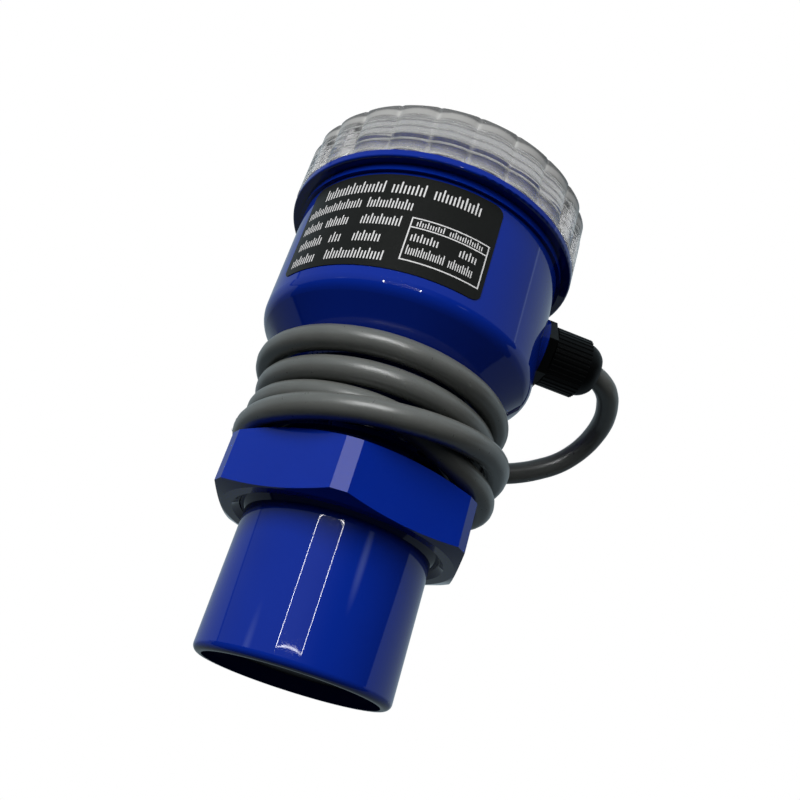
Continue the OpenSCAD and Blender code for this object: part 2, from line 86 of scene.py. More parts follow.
# Angle round the neck, distance from the axis and height, in degrees and millimetres
TURNS = (
    (94, 29.7, 68.0), (136, 29.3, 68.3), (176, 29.3, 68.6), (195, 29.3, 68.7), (221, 29.5, 68.6),
    (266, 29.9, 68.5), (311, 29.5, 68.4), (338, 29.1, 68.2), (356, 29.1, 68.0), (401, 28.5, 65.9),
    (446, 27.6, 62.6), (491, 27.3, 62.0), (536, 27.1, 62.0), (581, 27.4, 61.9), (626, 28.1, 61.8),
    (671, 27.6, 62.0), (716, 27.1, 62.0), (761, 27.1, 59.4), (806, 27.1, 56.4), (851, 27.2, 56.0),
    (896, 27.2, 55.9), (941, 27.2, 55.7), (986, 27.1, 54.9), (1006, 27.1, 53.2), (1026, 28.0, 51.0),
    (1042, 29.1, 50.1), (1060, 29.9, 49.7), (1076, 30.1, 49.6), (1095, 29.6, 49.8), (1121, 28.6, 49.7),
    (1166, 27.9, 49.7), (1211, 27.9, 49.7), (1236, 28.1, 49.7), (1256, 28.3, 49.7), (1276, 28.8, 49.7),
    (1296, 30.0, 49.8), (1323, 31.8, 50.5), (1346, 32.9, 51.6), (1366, 33.3, 53.1), (1386, 32.9, 55.0),
    (1406, 32.1, 56.8), (1426, 31.6, 57.7), (1456, 32.0, 57.1), (1491, 32.7, 55.3), (1526, 33.2, 53.6),
    (1556, 33.3, 53.2), (1576, 33.3, 53.2),
)
STEP = 12


def polar(angle, radius, height):
    """A point from its angle about the axis, its distance from it and its height."""
    a = math.radians(angle)
    return Vector((radius * math.cos(a), radius * math.sin(a), height))


def slope(knots, k, column):
    """Steepness at a knot that never overshoots its neighbours."""
    if k in (0, len(knots) - 1):
        return 0.0
    (a0, *v0), (a1, *v1), (a2, *v2) = knots[k - 1], knots[k], knots[k + 1]
    before = (v1[column] - v0[column]) / (a1 - a0)
    after = (v2[column] - v1[column]) / (a2 - a1)
    return 0.0 if before * after <= 0 else 2 * before * after / (before + after)


def between(knots, angle, column):
    """A smooth value at an angle between two knots."""
    k = max(i for i in range(len(knots) - 1) if knots[i][0] <= angle)
    a0, a1 = knots[k][0], knots[k + 1][0]
    t, w = (angle - a0) / (a1 - a0), a1 - a0
    v0, v1 = knots[k][1 + column], knots[k + 1][1 + column]
    m0, m1 = slope(knots, k, column) * w, slope(knots, k + 1, column) * w
    return (
        v0 * (2 * t**3 - 3 * t**2 + 1) + m0 * (t**3 - 2 * t**2 + t)
        + v1 * (3 * t**2 - 2 * t**3) + m1 * (t**3 - t**2)
    )


cable_points = [(BEND + Vector(p)) * MM for p in LOOP]
for angle in range(TURNS[0][0] + STEP, TURNS[-1][0] + 1, STEP):
    cable_points.append(polar(angle, between(TURNS, angle, 0), between(TURNS, angle, 1)) * MM)
print("cable points:", len(cable_points))

# %% Cable
curve = bpy.data.curves.new("cable", "CURVE")
curve.dimensions = "3D"
# The tube's radius is a knot's radius times this depth. The knots' radii also widen the curve's box.
curve.bevel_depth = 1.0
curve.bevel_resolution = 8
curve.resolution_u = 4
curve.use_fill_caps = True
strand = curve.splines.new("BEZIER")
strand.bezier_points.add(len(cable_points) - 1)
for knot, place in zip(strand.bezier_points, cable_points):
    knot.co = place
    knot.radius = CABLE_D / 2 * MM
    knot.handle_left_type = knot.handle_right_type = "AUTO"
cable = bpy.data.objects.new("cable", curve)
bpy.context.scene.collection.objects.link(cable)
bpy.context.view_layer.update()

# %% [markdown]
# ## The cable's bare end
# Nothing is plugged on the cable yet. Its sheath is cut back at the far side of the coil, and two cores
# stick out with tinned tips. They are thin tubes along the same circle as the last turn, so a ring of
# points is carried along a path, turned only as much as the path turns, and its ends are closed.

# %% Cores at the cable's end
def as_object(name, mesh):
    """An object with the shape of a bmesh. It isn't in the scene yet."""
    data = bpy.data.meshes.new(name)
    mesh.to_mesh(data)
    mesh.free()
    return bpy.data.objects.new(name, data)


def keep(name, mesh, body, slot):
    """Makes an object of a bmesh, and lets it ride on a body."""
    thing = as_object(name, mesh)
    bpy.context.scene.collection.objects.link(thing)
    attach(thing, body)
    return thing


def skin(mesh, rings, smooth=False):
    """Joins rings of points to one closed skin."""
    for near, far in zip(rings, rings[1:]):
        for n in range(len(near)):
            m = (n + 1) % len(near)
            mesh.faces.new((near[n], near[m], far[m], far[n])).smooth = smooth
    mesh.faces.new(rings[0][::-1])
    mesh.faces.new(rings[-1])


def tube(mesh, path, radius, sides=12):
    """A round skin along a path."""
    side = (path[1] - path[0]).orthogonal().normalized()
    spokes = [2 * math.pi * n / sides for n in range(sides)]
    rings = []
    for k, place in enumerate(path):
        along = (path[min(k + 1, len(path) - 1)] - path[max(k - 1, 0)]).normalized()
        side = (side - along * side.dot(along)).normalized()
        other = along.cross(side)
        rim = [place + radius * (math.cos(a) * side + math.sin(a) * other) for a in spokes]
        rings.append([mesh.verts.new(point) for point in rim])
    skin(mesh, rings, smooth=True)


END_ANGLE, END_R, END_Z = TURNS[-1]
# How far the cores reach, in degrees round the neck: back into the sheath, as insulation, as bare tips
CORE_IN, CORE_OUT, TIP_OUT = 6, 22, 31
CORE_D, TIP_D, CORE_RISE, CORE_PULL, CORE_SPREAD = 1.4, 0.9, 0.85, 0.03, 0.02
core_ends = {}
tips = bmesh.new()
for name, rise in (("red", CORE_RISE), ("black", -CORE_RISE)):
    run = [
        polar(END_ANGLE + a, END_R - CORE_PULL * a, END_Z + rise * (1 + CORE_SPREAD * max(a, 0))) * MM
        for a in range(-CORE_IN, TIP_OUT + 1)
    ]
    core = bmesh.new()
    tube(core, run[: CORE_IN + CORE_OUT + 1], CORE_D / 2 * MM)
    core_ends[name] = keep("core_end_" + name, core, "sensor", name + "_core")
    tube(tips, run[CORE_OUT:], TIP_D / 2 * MM)
core_tips = keep("core_tips", tips, "sensor", "screw_steel")
print("core ends:", [o.name for o in core_ends.values()])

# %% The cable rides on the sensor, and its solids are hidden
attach(cable, "sensor")
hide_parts("cable_loop", "cable_coil")

# %% [markdown]
# ## Writing node trees as sums
# Every finish and the light are node trees. Adding nodes one by one is long and hard to read, so a small
# class wraps a socket: a plus or a times between two of them adds a Math node, and one method makes any
# other node. The same class serves shader trees and Geometry Nodes.

# %% Node building
class Value:
    """A socket in a node tree. Arithmetic on it adds Math nodes."""

    def __init__(self, tree, socket):
        self.tree, self.socket = tree, socket

    def math(self, operation, *others):
        return self.tree.node("ShaderNodeMath", {"operation": operation}, self, *others)

    def after(self, operation, first):
        return self.tree.node("ShaderNodeMath", {"operation": operation}, first, self)

    def __add__(self, other):
        return self.math("ADD", other)

    def __radd__(self, other):
        return self.after("ADD", other)

    def __sub__(self, other):
        return self.math("SUBTRACT", other)

    def __rsub__(self, other):
        return self.after("SUBTRACT", other)

    def __mul__(self, other):
        return self.math("MULTIPLY", other)

    def __rmul__(self, other):
        return self.after("MULTIPLY", other)

    def __truediv__(self, other):
        return self.math("DIVIDE", other)

    def __rtruediv__(self, other):
        return self.after("DIVIDE", other)

    def __gt__(self, other):
        return self.math("GREATER_THAN", other)

    def __lt__(self, other):
        return self.math("LESS_THAN", other)

    def __abs__(self):
        return self.math("ABSOLUTE")

    def smooth(self, low, high):
        """0 below low, 1 above high, and a soft step between them."""
        return self.tree.node(
            "ShaderNodeMapRange", {"interpolation_type": "SMOOTHSTEP"}, self, low, high, 0.0, 1.0
        )


class Tree:
    """The node tree of a material, of the world, or of a Geometry Nodes group."""

    def __init__(self, owner):
        if hasattr(owner, "use_nodes"):
            owner.use_nodes = True
            owner = owner.node_tree
        self.nodes, self.links = owner.nodes, owner.links
        self.nodes.clear()

    def node(self, kind, settings=None, *inputs, out=0, **named):
        """Any node, with its settings, then its sockets in order or by name."""
        made = self.nodes.new(kind)
        for name, setting in (settings or {}).items():
            setattr(made, name, setting)
        pairs = list(zip(made.inputs, inputs))
        pairs += [(made.inputs[name.replace("_", " ")], value) for name, value in named.items()]
        for socket, value in pairs:
            if isinstance(value, Value):
                self.links.new(value.socket, socket)
            elif value is not None:
                socket.default_value = value
        return Value(self, made.outputs[out]) if made.outputs else made

    def mix(self, factor, colour_a, colour_b):
        return self.node(
            "ShaderNodeMixRGB", {"blend_type": "MIX"}, factor, rgba(colour_a), rgba(colour_b)
        )

    def xyz(self, source="Object"):
        """The three coordinates of a place on the piece, or of a direction in the world."""
        place = self.node("ShaderNodeTexCoord", out=source)
        return [self.node("ShaderNodeSeparateXYZ", None, place, out=k) for k in range(3)]

    def radius(self):
        """Distance from the sensor's axis."""
        x, y, _ = self.xyz()
        return (x * x + y * y).math("SQRT")

    def turn(self):
        """Turns about the sensor's axis, from -0.5 to 0.5."""
        x, y, _ = self.xyz()
        return y.math("ARCTAN2", x) / (2 * math.pi)

    def noise(self, scale, detail=3.0, rough=0.5, stretch=None):
        place = self.node("ShaderNodeTexCoord", out="Object")
        if stretch:
            place = self.node("ShaderNodeMapping", None, Vector=place, Scale=stretch)
        return self.node(
            "ShaderNodeTexNoise", None, Vector=place, Scale=scale, Detail=detail, Roughness=rough
        )


def rgba(colour):
    return colour if isinstance(colour, Value) else (*colour, 1.0)


print("node helpers ready")

# %% [markdown]
# ## Floor, light and background
# The sensor stands on a pale floor. The camera looks up from under that floor, so the floor shows only
# its upper side and lets light through from below. The world is white to the camera. A glossy blue
# plastic is mostly known by what it mirrors, so reflections get their own room: a pale wall behind the
# sensor, a dim room in front, and two soft windows. The room's edge is a curved line in direction space,
# with a dark line along it on the left and a pale one on the right. All of it is worked out from the
# direction that a ray leaves in. Rays that pass through the clear lid see one even grey, without a tint.

# %% World
ROOM_BELOW, ROOM_ABOVE, ROOM_BACK, ROOM_THROUGH = 0.02, 0.38, 0.42, 0.58
FRONT_PALE, FRONT_DARK, TABLE_LOW = 0.28, 0.03, 0.45
DARK_LINE, PALE_LINE, DARK_W, PALE_W = 0.9, 0.45, 0.03, 0.025
EDGE_TURN, EDGE_BOW, EDGE_SOFT = 0.25, 0.24, 0.015
MIRROR_TINT = (0.72, 0.90, 1.0)
# Azimuth and elevation of a soft window in degrees, and its strength
WINDOWS = ((-60, 14, 1.1), (-155, 7, 0.8))
WINDOW_R, WINDOW_FLAT = 0.11, (1.0, 1.0, 1.8)
world = bpy.data.worlds.new("studio")
bpy.context.scene.world = world
sky = Tree(world)
x, y, z = sky.xyz("Generated")
edge = EDGE_TURN * x + y - EDGE_BOW * abs(z).smooth(0.0, 0.35)
behind = edge.smooth(-EDGE_SOFT, EDGE_SOFT)
dark_line = (1.0 - abs(edge + DARK_W).smooth(0.0, DARK_W)) * (x < 0.0)
pale_line = (1.0 - abs(edge).smooth(0.0, PALE_W)) * (x > 0.0) * z.smooth(0.35, 0.45)
table = TABLE_LOW + (1.0 - TABLE_LOW) * z.smooth(-0.15, 0.1)
left = (1.0 - x.smooth(-0.5, 0.4)) * z.smooth(0.0, 0.12)
pale = left.math("MAXIMUM", z.smooth(0.38, 0.52))
front = FRONT_DARK + (FRONT_PALE - FRONT_DARK) * pale
room = front + (ROOM_BACK * table - front) * behind
room = room * (1.0 - DARK_LINE * dark_line) + PALE_LINE * pale_line
direction = sky.node("ShaderNodeTexCoord", out="Generated")
direction = sky.node("ShaderNodeVectorMath", {"operation": "MULTIPLY"}, direction, WINDOW_FLAT)
for azimuth, elevation, strength in WINDOWS:
    e = math.radians(elevation)
    centre = polar(azimuth, math.cos(e), math.sin(e)) * Vector(WINDOW_FLAT)
    away = sky.node("ShaderNodeVectorMath", {"operation": "DISTANCE"}, direction, centre, out="Value")
    room = room + strength * (1.0 - away.smooth(0.0, WINDOW_R))
ambient = ROOM_BELOW + (ROOM_ABOVE - ROOM_BELOW) * z.smooth(-0.05, 0.6)
seen, mirrored, through, depth = (
    sky.node("ShaderNodeLightPath", out=kind)
    for kind in ("Is Camera Ray", "Is Glossy Ray", "Is Transmission Ray", "Transmission Depth")
)
strength = ambient + mirrored * (room - ambient)
strength = strength + through * (ROOM_THROUGH - strength)
strength = strength + seen * (1.0 - strength)
tint = sky.mix(mirrored * (depth < 0.5), (1.0, 1.0, 1.0), MIRROR_TINT)
backdrop = sky.node("ShaderNodeBackground", None, Color=tint, Strength=strength)
sky.node("ShaderNodeOutputWorld", None, Surface=backdrop)
bpy.context.scene.view_settings.view_transform = "Standard"
print("world set: front", FRONT_DARK, "to", FRONT_PALE, "back", ROOM_BACK)

# %% Floor
FLOOR_RINGS, FLOOR_SIDES = (0.0207, 0.06, 0.2, 1.6), 48
floor_mesh = bmesh.new()
rings = []
for radius in FLOOR_RINGS:
    around = [polar(k * 360 / FLOOR_SIDES, radius, 0.0) for k in range(FLOOR_SIDES)]
    rings.append([floor_mesh.verts.new(point) for point in around])
for inner, outer in zip(rings, rings[1:]):
    for k in range(FLOOR_SIDES):
        m = (k + 1) % FLOOR_SIDES
        floor_mesh.faces.new((inner[k], outer[k], outer[m], inner[m]))
floor = as_object("floor", floor_mesh)
bpy.context.scene.collection.objects.link(floor)
floor_paint = bpy.data.materials.new("pale_floor")
tree = Tree(floor_paint)
below = tree.node("ShaderNodeNewGeometry", out="Backfacing")
pale = tree.node("ShaderNodeBsdfPrincipled", None, Base_Color=(0.86, 0.86, 0.86, 1.0), Roughness=0.8)
gone = tree.node("ShaderNodeBsdfTransparent")
tree.node("ShaderNodeOutputMaterial", None, tree.node("ShaderNodeMixShader", None, below, pale, gone))
floor.data.materials.append(floor_paint)
floor.visible_glossy = False
floor.visible_diffuse = False
print("floor radius", FLOOR_RINGS[-1], "m, with a hole under the barrel")

# %% [markdown]
# ## Lamps
# Three large soft lamps light the form, and they are kept out of reflections. Then come panels that are
# there to be mirrored. The round barrel squeezes a wide panel to a tall bright outline, so that panel is
# dim and has four bright strips round it. The nut's cut corner and the cable each need a streak of their
# own, and a lamp can be told which pieces it lights: light linking gives these two one lamp each.

# %% Lamps
LAMP_AIM = Vector((0.0, 0.0, 0.05))


def lamp(name, azimuth, elevation, distance, size, watts, mirrors=True, only=None):
    """A rectangle of light that faces the sensor. only names the one piece that it lights."""
    light = bpy.data.lights.new(name, "AREA")
    light.shape, light.size, light.size_y = "RECTANGLE", *size
    light.energy = watts
    thing = bpy.data.objects.new(name, light)
    e = math.radians(elevation)
    place = LAMP_AIM + distance * (polar(azimuth, math.cos(e), math.sin(e)))
    aim = (LAMP_AIM - place).to_track_quat("-Z", "Y").to_matrix().to_4x4()
    thing.matrix_world = Matrix.Translation(place) @ aim
    thing.visible_camera = False
    thing.visible_glossy = mirrors
    thing.visible_transmission = mirrors
    if only:
        lit = bpy.data.collections.new(name + "_lights")
        lit.objects.link(only)
        thing.light_linking.receiver_collection = lit
    bpy.context.scene.collection.objects.link(thing)
    return thing


# Name, azimuth, elevation, distance, width and height, and watts
lamp("soft_key", -128, 32, 1.2, (0.7, 0.7), 17, mirrors=False)
lamp("soft_fill", -45, 20, 1.3, (0.9, 0.9), 4, mirrors=False)
lamp("soft_back", 70, 40, 1.3, (0.9, 0.9), 7, mirrors=False)
lamp("nut_panel", -108, 21.3, 1.0, (0.45, 0.20), 0.65, only=nodes["lock_nut"])
lamp("cable_panel", -110, 25, 1.0, (0.55, 0.34), 3.2, only=cable)
PANEL_W, PANEL_H, SIDE, END = 0.49, 0.18, 0.016, 0.0025
panel = lamp("panel", -108, 10.2, 1.0, (PANEL_W, PANEL_H), 0.04)
for name, across, up, wide, high, glow in (
    ("panel_left", -0.5, 0.0, SIDE, PANEL_H, 110), ("panel_right", 0.5, 0.0, SIDE, PANEL_H, 110),
    ("panel_top", 0.0, 0.5, PANEL_W, END, 150), ("panel_foot", 0.0, -0.5, PANEL_W, END, 70),
):
    strip = lamp(name, 0, 0, 1.0, (wide, high), glow * wide * high)
    strip.matrix_world = panel.matrix_world @ Matrix.Translation((across * PANEL_W, up * PANEL_H, 0.0))

# %% [markdown]
# ## Finishes
# One function makes every material: a base colour, a roughness and a bump, each from the tree that it
# is given. Nothing on the sensor is one flat colour. Moulded plastic has a slow drift of colour and a
# fine orange peel, rubber is speckled and dull, and metal is brushed. A finish may have a second layer,
# let in by a Mix Shader.

# %% Finishes
def finish(name, base, rough, bump=None, over=None, **shader):
    """A Principled material. base, rough, bump and a layer over it are functions of its tree."""
    made = bpy.data.materials.new(name)
    tree = Tree(made)
    normal = None
    if bump:
        height, strength, distance = bump(tree)
        normal = tree.node("ShaderNodeBump", None, Strength=strength, Distance=distance, Height=height)
    body = tree.node(
        "ShaderNodeBsdfPrincipled", None, Base_Color=base(tree), Roughness=rough(tree), Normal=normal,
        **shader,
    )
    if over:
        share, layer = over(tree)
        body = tree.node("ShaderNodeMixShader", None, share, body, layer)
    tree.node("ShaderNodeOutputMaterial", None, body)
    return made


def paint(thing, material):
    """Gives a piece one material."""
    thing.data.materials.clear()
    thing.data.materials.append(material)


print("finish helper ready")

# %% [markdown]
# ### Blue plastic
# The housing and the lock nut are one glossy blue. The neck's thread is cut into the same piece and is
# almost hidden by the cable, so it is a bump: the height is a sawtooth of the distance along the axis less
# the turn about it, and it is let in only where the radius is the neck's and the nut's bore. Little light
# gets in behind the wound cable, so the neck's blue is darkened there as painted shade.

# %% Blue plastic
NECK_PITCH, NECK_LOW, NECK_HIGH, COIL_LOW = 2.309, 33.9, 69.1, 46.7
NECK_R = (23.0, 24.4)
# The last of these is how far painted shade darkens the neck's blue behind the cable
TOOTH, PEEL, PAINTED_NECK_SHADE = 0.9, 0.0004, 0.93
DRAWN = (1.0, 1.0, 0.05)


def on_neck(t, low):
    """1 on the neck's thread above a level, 0 elsewhere."""
    radius, z = t.radius(), t.xyz()[2]
    ring = (radius > NECK_R[0] * MM) * (radius < NECK_R[1] * MM)
    return ring * (z > low * MM) * (z < NECK_HIGH * MM)


def neck_thread(t):
    """The height of the thread's teeth, and of the fine orange peel everywhere."""
    z = t.xyz()[2]
    tooth = abs((z / (NECK_PITCH * MM) - t.turn()).math("FRACT") - 0.5) * 2.0
    return TOOTH * tooth * on_neck(t, NECK_LOW) + PEEL * t.noise(420.0, 1.0)


def blue(t):
    """The moulded colour, with painted shade darkening the neck behind the cable."""
    moulded = t.mix(t.noise(60.0), (0.0013, 0.0160, 0.230), (0.0019, 0.0200, 0.268))
    return t.mix(PAINTED_NECK_SHADE * on_neck(t, COIL_LOW), moulded, (0.0004, 0.0008, 0.005))


def draw_marks(t):
    """Fine upright lines that the mould leaves."""
    return t.noise(900.0, 2.0, 0.5, DRAWN).smooth(0.70, 0.76)


blue_plastic = finish(
    "blue_plastic",
    blue,
    lambda t: 0.012 + 0.025 * t.noise(180.0, 6.0) + 0.03 * draw_marks(t),
    lambda t: (neck_thread(t), 1.0, MM),
)
for name in ("housing", "lock_nut"):
    paint(nodes[name], blue_plastic)
print("blue plastic on housing and lock nut")

# %% [markdown]
# ### Cable sheath, gland and seals
# The sheath is grey and satin, so the lamp shows as a soft streak along each turn. The gland is black
# nylon with a fine spark-eroded grain. The seals are rubber, dull and a little dusty.

# %% Sheath, nylon and rubber
cable_sheath = finish(
    "cable_sheath",
    lambda t: t.mix(t.noise(300.0, 6.0), (0.068, 0.072, 0.068), (0.088, 0.092, 0.087)),
    lambda t: 0.25 + 0.08 * t.noise(900.0, 4.0),
    lambda t: (t.noise(2600.0, 3.0), 0.3, 0.00004),
    Specular_IOR_Level=1.0,
)
black_nylon = finish(
    "black_nylon",
    lambda t: t.mix(t.noise(500.0), (0.0009, 0.0010, 0.0010), (0.0020, 0.0020, 0.0020)),
    lambda t: 0.34 + 0.14 * t.noise(1500.0, 4.0),
    lambda t: (t.noise(3000.0, 4.0), 0.3, 0.00003),
    Specular_IOR_Level=0.22,
)
black_rubber = finish(
    "black_rubber",
    lambda t: t.mix(t.noise(900.0, 5.0), (0.010, 0.010, 0.010), (0.020, 0.020, 0.019)),
    lambda t: 0.62 + 0.15 * t.noise(1200.0),
    lambda t: (t.noise(2200.0, 4.0), 0.4, 0.00005),
)
seal_rubber = finish(
    "seal_rubber",
    lambda t: t.mix(t.noise(400.0, 4.0), (0.70, 0.70, 0.68), (0.80, 0.80, 0.78)),
    lambda t: 0.50 + 0.15 * t.noise(800.0),
    lambda t: (t.noise(1500.0, 3.0), 0.3, 0.00005),
)
for name, finish_of_it in (
    ("gland_body", black_nylon), ("gland_nut", black_nylon), ("gland_locknut", black_nylon),
    ("cable_tail", cable_sheath), ("gland_seal", black_rubber), ("decoupling_ring", black_rubber),
    ("lid_seal", seal_rubber),
):
    paint(nodes[name], finish_of_it)
curve.materials.append(cable_sheath)
print("sheath, nylon and rubber done")

# %% [markdown]
# ### The clear lid
# The lid is clear plastic, a little milky all over. It lets light through with some blur, and its base
# colour greys what is seen through it. A plain clear wall would show only what lies behind it, so painted
# highlights stand for the light that the lid catches at its rim, at its foot and in the notches between
# its lobes: a pale milky layer is let in there, by height, by distance from the axis and by the turn
# within a lobe. At the top of the rim that layer is dark grey, as painted shade.

# %% Clear plastic
# Where the wall begins, from the axis, and where its top, rim and foot do, in height
LID_WALL, LID_TOP, LID_RIM, LID_FOOT = (35.2, 36.4), (126.5, 127.8), (128.7, 129.6), (116.9, 119.4)
# Number of lobes, where the first one points, and half the width of a notch as a share of a lobe
LOBES, LOBE_TURN, NOTCH = 24, 4, 0.1
# How milky the lid is all over, and the painted highlights that top, foot and notches add
CLOUD, TOP_PAINTED_GLINT, FOOT_PAINTED_GLINT, NOTCH_PAINTED_GLINT = 0.01, 0.45, 0.27, 0.16


def past(value, ends):
    """0 before the first of two distances in millimetres, 1 past the second."""
    return value.smooth(ends[0] * MM, ends[1] * MM)


def milk_and_painted_glints(t):
    """How much of the milky layer shows, with painted highlights at top, foot and notches, and that layer.
    """
    z, wall = t.xyz()[2], past(t.radius(), LID_WALL)
    lobe = (t.turn() * LOBES - LOBE_TURN / 360 * LOBES).math("FRACT")
    notch = 1.0 - abs(lobe - 0.5).smooth(0.0, NOTCH)
    # Painted highlights: the top, the foot and the notches get more of the pale layer
    milky = TOP_PAINTED_GLINT * past(z, LID_TOP) + FOOT_PAINTED_GLINT * (1.0 - past(z, LID_FOOT)) + NOTCH_PAINTED_GLINT * notch
    # The layer is pale, and dark grey at the top of the rim as painted shade
    shade = t.mix(wall * past(z, LID_RIM), (0.68, 0.68, 0.665), (0.22, 0.225, 0.225))
    layer = t.node("ShaderNodeBsdfPrincipled", None, Base_Color=shade, Roughness=0.35)
    return CLOUD + wall * milky, layer


clear_plastic = finish(
    "clear_plastic",
    lambda t: t.mix(t.noise(40.0), (0.84, 0.845, 0.85), (0.91, 0.915, 0.92)),
    lambda t: 0.03 + 0.06 * t.noise(150.0, 4.0),
    lambda t: (t.noise(240.0, 2.0), 0.15, 0.00003),
    milk_and_painted_glints,
    Transmission_Weight=0.975, IOR=1.45,
)
# The lid's ridge is near white and partly clear: a painted highlight for the bright lines that the clear
# thread shows
ridge_painted_glint = finish(
    "ridge_painted_glint",
    lambda t: t.mix(t.noise(300.0), (0.93, 0.93, 0.92), (0.98, 0.98, 0.97)),
    lambda t: 0.30 + 0.15 * t.noise(500.0),
    lambda t: (t.noise(900.0, 2.0), 0.2, 0.00003),
    Alpha=0.85,
)
paint(nodes["lid"], clear_plastic)
print("lid is clear, and milky at its rim, foot and", LOBES, "notches")

# %% [markdown]
# ### What is inside
# The board, the display, the keys and the stack behind the sounding face are seen through the lid, or only
# once they are taken out. They get the finish of their stuff all the same: solder mask with the
# shine of buried tracks, plated screws, smoked display window, speckled epoxies and ceramic.

# %% Finishes of the inner pieces
def speckled(name, dark, light, rough, scale=700.0):
    """A dull finish with specks of two shades."""
    return finish(
        name,
        lambda t: t.mix(t.noise(scale, 5.0).smooth(0.3, 0.7), dark, light),
        lambda t: rough + 0.12 * t.noise(scale * 1.7, 3.0),
        lambda t: (t.noise(scale * 2.5, 3.0), 0.3, 0.00004),
    )


LANE, STREET = 1.27, 1.9
PANE_X, PANE_D, PANE_Y, PANE_LOW = 13.9, 5.9, 6.0, 118.5


def tracks(t):
    """Where copper tracks lie under the solder mask."""
    x, y, _ = t.xyz()
    lanes = (x / (LANE * MM)).math("FRACT") < 0.4
    streets = (y / (STREET * MM)).math("FRACT") < 0.3
    block = t.noise(130.0, 1.0) > 0.5
    return lanes * block + streets * (1.0 - block)


def smoked_window(t):
    """1 inside the display's window, 0 on its frame."""
    x, y, z = t.xyz()
    return (abs(x) < PANE_X * MM) * (abs(y - PANE_Y * MM) < PANE_D * MM) * (z > PANE_LOW * MM)


board_laminate = finish(
    "board_laminate",
    lambda t: t.mix(tracks(t), (0.008, 0.085, 0.03), (0.018, 0.15, 0.055)),
    lambda t: 0.22 + 0.15 * t.noise(500.0),
    lambda t: (tracks(t), 0.5, 0.00004),
)
screw_steel = finish(
    "screw_steel",
    lambda t: t.mix(t.noise(300.0, 4.0), (0.52, 0.52, 0.51), (0.66, 0.66, 0.65)),
    lambda t: 0.22 + 0.18 * t.noise(900.0, 3.0, 0.6, (1.0, 8.0, 1.0)),
    lambda t: (t.noise(1400.0, 3.0, 0.6, (1.0, 8.0, 1.0)), 0.2, 0.00003),
    Metallic=1.0,
)
display_plastic = finish(
    "display_plastic",
    lambda t: t.mix(smoked_window(t), (0.016, 0.015, 0.015), (0.045, 0.007, 0.006)),
    lambda t: 0.42 - 0.30 * smoked_window(t) + 0.08 * t.noise(700.0),
    lambda t: (t.noise(1800.0, 3.0), 0.2, 0.00003),
)
for name, made in (
    ("circuit_board", board_laminate), ("board_screws", screw_steel), ("display_module", display_plastic),
    ("core_red", speckled("red_core", (0.48, 0.015, 0.015), (0.58, 0.025, 0.022), 0.34)),
    ("core_black", speckled("black_core", (0.010, 0.010, 0.010), (0.020, 0.020, 0.020), 0.34)),
    ("wire_header", speckled("header_nylon", (0.70, 0.67, 0.57), (0.78, 0.75, 0.65), 0.40)),
    ("button_switches", speckled("switch_plastic", (0.014, 0.014, 0.014), (0.026, 0.026, 0.026), 0.42)),
    ("button_set", speckled("key_red", (0.40, 0.016, 0.016), (0.48, 0.024, 0.022), 0.36)),
    ("button_up", speckled("key_grey", (0.54, 0.54, 0.53), (0.64, 0.64, 0.63), 0.38)),
    ("sounding_face", speckled("face_epoxy", (0.022, 0.022, 0.026), (0.040, 0.040, 0.046), 0.55, 1100.0)),
    ("piezo_disc", speckled("piezo_ceramic", (0.54, 0.46, 0.26), (0.66, 0.58, 0.34), 0.55, 1500.0)),
    ("backing_block", speckled("backing_epoxy", (0.32, 0.23, 0.13), (0.48, 0.37, 0.23), 0.60, 900.0)),
    ("potting", speckled("potting_resin", (0.010, 0.010, 0.010), (0.020, 0.020, 0.020), 0.12, 200.0)),
    ("piezo_leads", speckled("lead_insulation", (0.54, 0.22, 0.015), (0.64, 0.27, 0.025), 0.36)),
):
    paint(nodes[name], made)
paint(nodes["button_down"], bpy.data.materials["key_grey"])
paint(core_tips, screw_steel)
for name, core in core_ends.items():
    paint(core, bpy.data.materials[name + "_core"])
print("inner finishes done")

# %% [markdown]
# ## The label
# The label is a black satin film, slightly paler than the gland, wrapped a quarter of the way round the
# bowl. Its print is white ink, a plain pattern of short upright bars in groups, with a ruled box at the
# right. A picture could carry it, but small shapes stay sharp from near by. A bar is a flat eight-sided
# plate, bent onto the film's own radius and raised by the thickness of ink.

# %% Label film and ink
label_film = finish(
    "label_film",
    lambda t: t.mix(t.noise(800.0), (0.006, 0.006, 0.005), (0.009, 0.009, 0.008)),
    lambda t: 0.34 + 0.10 * t.noise(1200.0, 4.0),
    lambda t: (t.noise(1800.0), 0.2, 0.00002),
    Specular_IOR_Level=0.3,
)
paint(nodes["label"], label_film)
white_ink = finish(
    "white_ink",
    lambda t: t.mix(t.noise(1500.0, 4.0), (0.56, 0.56, 0.56), (0.68, 0.68, 0.68)),
    lambda t: 0.42 + 0.10 * t.noise(900.0),
    lambda t: (t.noise(2500.0, 3.0), 0.2, 0.00002),
)
print("label film and ink ready")

# %% Print on the label
LABEL_TURN, LABEL_R, INK_LOW, INK_HIGH = -116.0, 35.18, 35.16, 35.20
